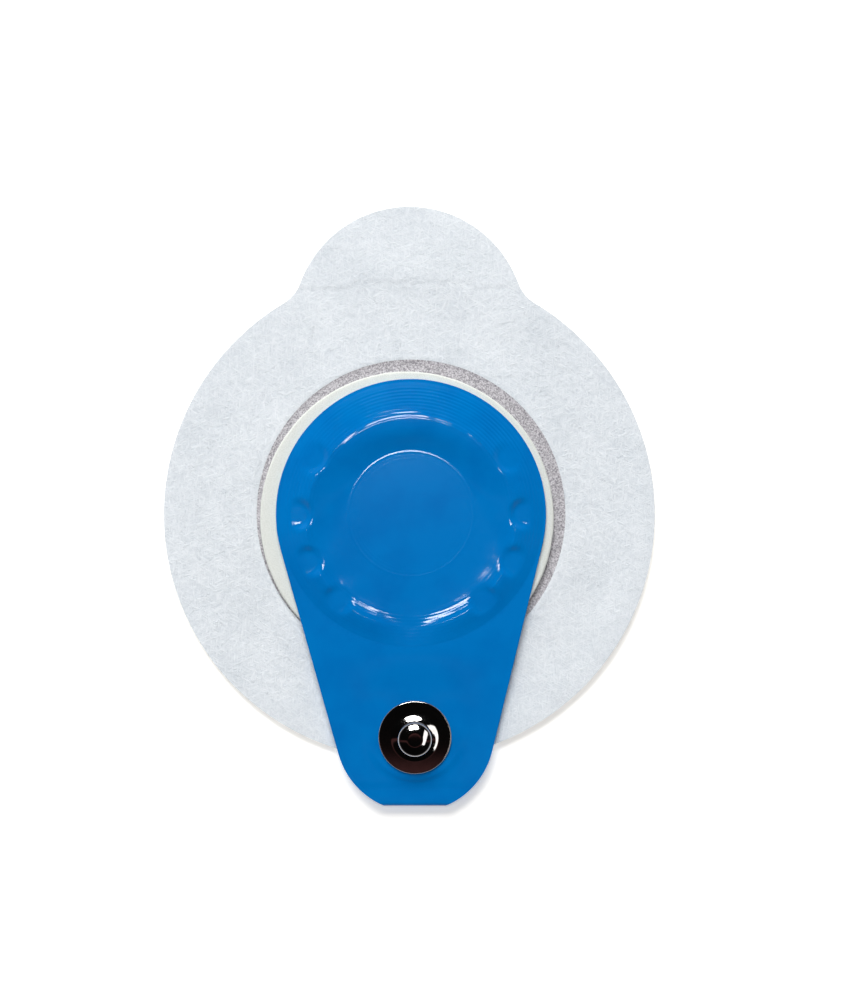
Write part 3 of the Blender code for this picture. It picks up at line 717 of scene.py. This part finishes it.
def neck_rise(x, y):
    """The film stands a little higher where the tongue leaves the cap, over the sensor strip."""
    ridge = NECK_RISE * bell(x - TONGUE_X, NECK_HALF)
    return ridge * smooth((-y - 8 * mm) / (6 * mm)) * smooth((y + 22 * mm) / (7 * mm))


def crown_profile(radius, turn):
    """Height over the rim: a level floor, then the crown, highest towards the tab, with a saddle below."""
    north = np.clip(np.sin(turn), 0.0, 1.0)
    south = np.clip(-np.sin(turn), 0.0, 1.0)
    middle = bell(radius * np.cos(turn), SADDLE_HALF)
    peak = CROWN_HEIGHT * (1 + CROWN_TILT * np.sin(turn)) * (1 - SADDLE_DEPTH * south * middle)
    climb = np.clip((radius - FLOOR_RADIUS) / (PEAK_RADIUS - FLOOR_RADIUS), 0.0, 1.0)
    share = north * np.sin(climb * math.pi / 2) + (1 - north) * climb ** (2 + 4 * south)
    inner = FLOOR_HEIGHT + (peak - FLOOR_HEIGHT) * share
    run = FOOT_RADIUS - PEAK_RADIUS
    rounding = CROWN_ROUNDING * (1 - 0.7 * north * (1 - middle))
    fall = (np.hypot(radius - PEAK_RADIUS, rounding) - rounding) / (np.hypot(run, rounding) - rounding)
    ridge = RIDGE_HEIGHT * south * (1 - middle) * bell(radius - PEAK_RADIUS, RIDGE_WIDTH)
    return np.where(radius < PEAK_RADIUS, inner, peak * (1 - fall)) + ridge


def mould_marks(radius, turn):
    """Fine steps left by the mould, worn towards the stud, the floor's bead and the crease at the foot."""
    where = smooth((radius - STEP_START) / (0.5 * mm)) * smooth((STEP_END - radius) / (0.4 * mm))
    north = np.clip(np.sin(turn), 0.0, 1.0)
    south = np.clip(-np.sin(turn), 0.0, 1.0)
    worn = SADDLE_WEAR * bell(radius * np.cos(turn), SADDLE_HALF)
    worn = np.maximum(worn, SLOPE_WEAR * smooth((radius - PEAK_RADIUS) / (1 * mm)))
    strength = (1 + 0.6 * north) * (1 - south * worn)
    steps = STEP_DEPTH * where * strength * np.sin(math.tau * radius / MOULD_STEP)
    lined = smooth((radius - LINES_START) / (0.2 * mm)) * smooth((LINES_END - radius) / (0.2 * mm))
    steps += LINES_DEPTH * lined * np.sin(math.tau * radius / LINES_STEP)
    bead = BEAD_HEIGHT * (0.75 + 0.25 * np.sin(turn)) * bell(radius - BEAD_RADIUS, BEAD_WIDTH)
    return steps + bead - FOOT_CREASE * bell(radius - FOOT_RADIUS, FOOT_CREASE_WIDTH)


def press_dimples(x, y, height):
    """Height after the round punches have pushed the crown down to the dimple floor."""
    for degrees in DIMPLE_ANGLES:
        turn = math.radians(degrees)
        away = np.hypot(x - DIMPLE_CIRCLE * math.cos(turn), y - DIMPLE_CIRCLE * math.sin(turn))
        pressed = 1 - smooth((away - DIMPLE_FLOOR_RADIUS) / DIMPLE_WALL)
        north = max(0.0, math.sin(turn))
        floor = DIMPLE_SHARE * (1 + 0.2 * north) * CROWN_HEIGHT * (1 + CROWN_TILT * math.sin(turn))
        floor = floor - north * DIMPLE_FLOOR_SLOPE * (np.hypot(x, y) - DIMPLE_CIRCLE)
        excess = height - floor
        height = height - pressed * (excess + np.hypot(excess, DIMPLE_ROUNDING)) / 2
    return height


def crown_rings():
    """Points of the crown, ring by ring from the floor to the foot. The crown leans towards -Y."""
    radii = np.concatenate(
        [
            np.array((1.5, 3.0, 4.5, 5.4)) * mm,
            np.arange(5.8 * mm, 7.4 * mm, 0.08 * mm),
            np.arange(7.4 * mm, 10.4 * mm, 0.2 * mm),
            np.arange(10.4 * mm, PEAK_RADIUS, 0.09 * mm),
            np.linspace(PEAK_RADIUS, FOOT_RADIUS, 53),
        ]
    )
    turns = np.linspace(0.0, math.tau, CROWN_SECTORS, endpoint=False)
    radius, turn = np.meshgrid(radii, turns, indexing="ij")
    rising = smooth((radius - FLOOR_RADIUS) / (PEAK_RADIUS - FLOOR_RADIUS))
    falling = smooth((FOOT_RADIUS - radius) / (FOOT_RADIUS - PEAK_RADIUS))
    shifted = radius - CROWN_LEAN * np.sin(turn) * np.where(radius < PEAK_RADIUS, rising, falling)
    x, y = shifted * np.cos(turn), shifted * np.sin(turn)
    down_slope = np.clip((radius - PEAK_RADIUS) / (FOOT_RADIUS - PEAK_RADIUS), 0.0, 1.0)
    height = crown_profile(radius, turn) + neck_rise(x, y) * down_slope
    spots = x.ravel(), y.ravel()
    wobble = mottle(*spots, size=2.6 * mm, height=WOBBLE) + mottle(*spots, size=1 * mm, height=FINE_WOBBLE)
    wobble = wobble.reshape(x.shape)
    height = press_dimples(x, y, height + mould_marks(shifted, turn) + wobble * np.minimum(rising, falling))
    return np.stack([x, y, film_top + height], axis=-1)


def tongue_level(x, y):
    """The flat rim and tongue, raised under the stud and slightly wavy where nothing holds it."""
    to_stud = np.hypot(x - TONGUE_X, y - STUD_Y)
    northward = 0.5 + 0.5 * (y - STUD_Y) / np.maximum(to_stud, 1 * mm)
    seat = SEAT_HEIGHT * (1 - northward)
    seat *= 1 - smooth((to_stud - SEAT_RADIUS) / (SEAT_SLOPE * (1 + 5 * northward)))
    from_fold = y - bend_start_y
    free = smooth((-y - 17.5 * mm) / (5 * mm)) * smooth(from_fold / (3 * mm))
    off_seat = smooth((to_stud - SEAT_RADIUS) / (3 * mm))
    wave = TONGUE_WAVE * np.sin((x + 0.35 * y) / (4.2 * mm)) * free * off_seat
    ripple = -FOLD_DIP * bell(from_fold - 1.5 * mm, 0.5 * mm) * smooth(from_fold / (1 * mm))
    beyond = np.hypot(x, y) - FOOT_RADIUS
    rim = RIM_SLOPE * np.maximum(beyond, 0.0) * np.clip(y / FOOT_RADIUS, 0.0, 1.0)
    crease = FOOT_CREASE * bell(beyond, FOOT_CREASE_WIDTH)
    return film_top + seat + wave + ripple + neck_rise(x, y) - rim - crease


def flap_level(x, y):
    """The flap under the tongue, with the pocket round the eyelet."""
    to_stud = np.hypot(x - TONGUE_X, y - STUD_Y)
    return flap_bottom - pocket_depth * (1 - smooth((to_stud - POCKET_RADIUS) / POCKET_SLOPE))


def half_chord(y):
    """Half the width of the tongue's round end at the line at y."""
    return math.sqrt(TONGUE_END_RADIUS**2 - (y - TONGUE_END_Y) ** 2)


def straight(start, end):
    """Points from start up to, but not with, the end."""
    count = max(1, round(math.dist(start, end) / EDGE_STEP))
    return [tuple(Vector(start).lerp(Vector(end), i / count)) for i in range(count)]


def side_x(angle, y):
    """Where the tongue's straight side crosses the line at y."""
    return (CAP_RADIUS - y * math.sin(angle)) / math.cos(angle)


tongue_length = math.hypot(TONGUE_X, TONGUE_END_Y)
tongue_axis = math.atan2(TONGUE_END_Y, TONGUE_X)
flare = math.acos((CAP_RADIUS - TONGUE_END_RADIUS) / tongue_length)
left_angle, right_angle = tongue_axis - flare, tongue_axis + flare
end_centre = (TONGUE_X, TONGUE_END_Y)
bend_half = half_chord(bend_start_y)
corner_angle = math.atan2(bend_start_y - TONGUE_END_Y, bend_half)
fold_xs = np.linspace(TONGUE_X - bend_half, TONGUE_X + bend_half, FOLD_COLUMNS + 1)
fold_line = [(float(x), bend_start_y) for x in fold_xs]
right_end = arc(end_centre, TONGUE_END_RADIUS, corner_angle, right_angle, EDGE_STEP)
left_end = arc(end_centre, TONGUE_END_RADIUS, left_angle, -math.pi - corner_angle, EDGE_STEP)
cap_line = arc((0.0, 0.0), CAP_RADIUS, right_angle, math.tau + left_angle, EDGE_STEP)
film_line = fold_line[:-1] + right_end[:-1] + straight(right_end[-1], cap_line[0])
film_line += cap_line[:-1] + straight(cap_line[-1], left_end[0]) + left_end[:-1]
rings = crown_rings()
foot = [tuple(point[:2]) for point in rings[-1].tolist()]
seat_hole = circle((TONGUE_X, STUD_Y), SEAT_HOLE_RADIUS, EDGE_STEP)
seat_edge = [circle((TONGUE_X, STUD_Y), SEAT_RADIUS + i / 3 * SEAT_SLOPE, EDGE_STEP) for i in range(4)]
flat_sheet = cut_sheet(film_line, [foot, seat_hole], FILM_PITCH, seat_edge)
flap_right, flap_left = ((side_x(angle, FLAP_END_Y), FLAP_END_Y) for angle in (right_angle, left_angle))
flap_line = fold_line[:-1] + right_end[:-1] + straight(right_end[-1], flap_right)
flap_line += straight(flap_right, flap_left) + straight(flap_left, left_end[0]) + left_end[:-1]
flap_sheet = cut_sheet(flap_line, [], 1.3 * FILM_PITCH)

film = bmesh.new()
centre_vert = film.verts.new((0.0, 0.0, film_top + FLOOR_HEIGHT))
rows = [[film.verts.new(point) for point in row] for row in rings.tolist()]
for i in range(CROWN_SECTORS):
    j = (i + 1) % CROWN_SECTORS
    film.faces.new((centre_vert, rows[0][i], rows[0][j]))
    for inner_row, outer_row in zip(rows, rows[1:]):
        film.faces.new((inner_row[i], outer_row[i], outer_row[j], inner_row[j]))
for (points, faces), level in ((flat_sheet, tongue_level), (flap_sheet, flap_level)):
    verts = [film.verts.new((x, y, z)) for (x, y), z in zip(points.tolist(), level(*points.T))]
    for face in faces.tolist():
        film.faces.new([verts[i] for i in face])
bend_rows = []
for i in range(FOLD_STEPS + 1):
    turn = math.pi * i / FOLD_STEPS
    y = bend_start_y - fold_radius * math.sin(turn)
    z = film_top - fold_radius * (1 - math.cos(turn))
    spread = half_chord(y) / bend_half
    bend_rows.append([film.verts.new((TONGUE_X + (x - TONGUE_X) * spread, y, z)) for x in fold_xs])
for upper, lower in zip(bend_rows, bend_rows[1:]):
    for k in range(FOLD_COLUMNS):
        film.faces.new((upper[k], lower[k], lower[k + 1], upper[k + 1]))
bmesh.ops.remove_doubles(film, verts=film.verts, dist=0.002 * mm)
bmesh.ops.recalc_face_normals(film, faces=film.faces)
film.faces.ensure_lookup_table()
if centre_vert.link_faces[0].normal.z < 0:
    bmesh.ops.reverse_faces(film, faces=film.faces)
film_mesh = bpy.data.meshes.new("film_cap")
film.to_mesh(film_mesh)
film.free()
film_mesh.shade_smooth()
film_cap = bpy.data.objects.new("film_cap", film_mesh)
bpy.context.scene.collection.objects.link(film_cap)
shell = film_cap.modifiers.new("film thickness", "SOLIDIFY")
shell.thickness = FILM_THICKNESS
shell.offset = -1.0
shell.use_even_offset = True
shell.material_offset_rim = 1
trim = film_cap.modifiers.new("cut edge", "BEVEL")
trim.width = 0.05 * mm
trim.segments = 2
trim.harden_normals = True
trim.limit_method = "ANGLE"
trim.angle_limit = math.radians(55)
trim.material = 1

blue, tree, shader = finish("blue_film", 0.085)
clouds = grain(tree, 5 * mm, detail=3.0)
tint(tree, shader, clouds, (0.3, FILM_DEEP), (0.6, FILM_BLUE))
hairlines = grain(tree, (1.6 * mm, 0.12 * mm, 1 * mm), turn=0.02)
relief(tree, shader, hairlines, 0.0015 * mm)
# The cut edge is painted a lighter blue than the film face, a painted highlight along the edge, broken by
# random nicks.
cut_edge, tree, shader = finish("film_cut_edge", 0.6)
shader.inputs["Specular IOR Level"].default_value = 0.15
edge_highlight_and_nicks = grain(tree, 0.15 * mm)
tint(tree, shader, edge_highlight_and_nicks, (0.35, (0.0, 0.20, 0.56)), (0.65, (0.05, 0.36, 0.72)))
relief(tree, shader, edge_highlight_and_nicks, 0.02 * mm)
film_mesh.materials.append(blue)
film_mesh.materials.append(cut_edge)
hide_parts("top_film")
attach(film_cap, "root")

# Snap stud. Pressed from thin brass sheet and nickel plated, with a round head over a narrow neck and
# a flange that clamps the film against the eyelet. Its top is slightly dished inside a fine ring.
FLANGE_RADIUS = 4.1 * mm
FLANGE_THICKNESS = 0.25 * mm
BASE_FILLET = 0.33 * mm
NECK_RADIUS = 1.6 * mm
NECK_HEIGHT = 1.1 * mm
HEAD_RADIUS = 1.9 * mm
HEAD_FLAT_RADIUS = 0.85 * mm
HEAD_DOME_RADIUS = 1.67 * mm
HEAD_UNDERCUT = 42
DOME_START_TILT = 3.5
DOME_POINTS = 9
SHOULDER_TILT = 9.5
STUD_WALL = 0.25 * mm
STUD_SECTORS = 160
DISH_RADIUS = 0.55 * mm
DISH_DEPTH = 0.005 * mm
DISH_RIM = (0.72 * mm, 0.003 * mm)
CONE_RADIUS = 2.65 * mm
CONE_RISE = 0.085 * mm
CONE_STEPS = 6
SUPPORT = 0.05 * mm
stud_bottom, stud_top = (corner.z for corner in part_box("snap_stud"))
flange_top = stud_bottom + FLANGE_THICKNESS
dome_tilts = np.radians(np.linspace(DOME_START_TILT, SHOULDER_TILT, DOME_POINTS))
dome_radii = np.linspace(HEAD_FLAT_RADIUS, HEAD_DOME_RADIUS, DOME_POINTS)
dome_drops = np.concatenate([[0.0], np.cumsum(np.diff(dome_radii) * np.tan(dome_tilts[1:]))])
tilt = math.radians(SHOULDER_TILT)
shoulder = (HEAD_RADIUS - HEAD_DOME_RADIUS) / (1 - math.sin(tilt))
shoulder_centre = (HEAD_RADIUS - shoulder, stud_top - dome_drops[-1] - shoulder * math.cos(tilt))
cone_foot = NECK_RADIUS + BASE_FILLET
fillet_centre = (cone_foot, flange_top + CONE_RISE + BASE_FILLET)
rim_radius = FLANGE_THICKNESS / 2
rim_centre = (FLANGE_RADIUS - rim_radius, stud_bottom + rim_radius)
flat_start, flat_end = CONE_RADIUS + 0.1 * mm, rim_centre[0] - 0.03 * mm
bore_radius = NECK_RADIUS - STUD_WALL
bore_top = stud_top - STUD_WALL
profile = [(0.0, stud_top - DISH_DEPTH), (DISH_RADIUS, stud_top - DISH_DEPTH)]
profile += [(DISH_RIM[0], stud_top - DISH_RIM[1])]
profile += [(float(r), float(stud_top - d)) for r, d in zip(dome_radii, dome_drops)][:-1]
profile += round_profile(shoulder_centre, shoulder, 90 - SHOULDER_TILT, -HEAD_UNDERCUT, 16)
profile += [(NECK_RADIUS, stud_bottom + NECK_HEIGHT)]
profile += round_profile(fillet_centre, BASE_FILLET, 180, 262, 8)
for i in range(1, CONE_STEPS + 1):
    share = i / CONE_STEPS
    lean = CONE_RISE * (1 - share) * (1 - 0.3 * share)
    profile.append((cone_foot + share * (CONE_RADIUS - cone_foot), flange_top + lean))
profile += [(r, flange_top) for r in (flat_start, flat_start + SUPPORT, flat_end - SUPPORT, flat_end)]
profile += round_profile(rim_centre, rim_radius, 90, -90, 10)
profile += [(bore_radius, stud_bottom), (bore_radius, bore_top - STUD_WALL)]
profile += [(shoulder_centre[0] - 0.3 * mm, bore_top), (0.0, bore_top)]
stud = turned("stud", profile, (TONGUE_X, STUD_Y), STUD_SECTORS)
nickel, tree, shader = finish("nickel_plate", 0.04, 1.0)
smears = grain(tree, 1.0 * mm, detail=4.0)
tint(tree, shader, smears, (0.3, (0.50, 0.48, 0.46)), (0.7, (0.62, 0.60, 0.59)))
scuffs = grain(tree, 0.12 * mm, detail=3.0)
relief(tree, shader, scuffs, 0.00015 * mm)
stud.data.materials.append(nickel)
metal_only = bpy.data.collections.new("metal_only")
metal_only.objects.link(stud)
right_box.light_linking.receiver_collection = metal_only
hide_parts("snap_stud")
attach(stud, "root")
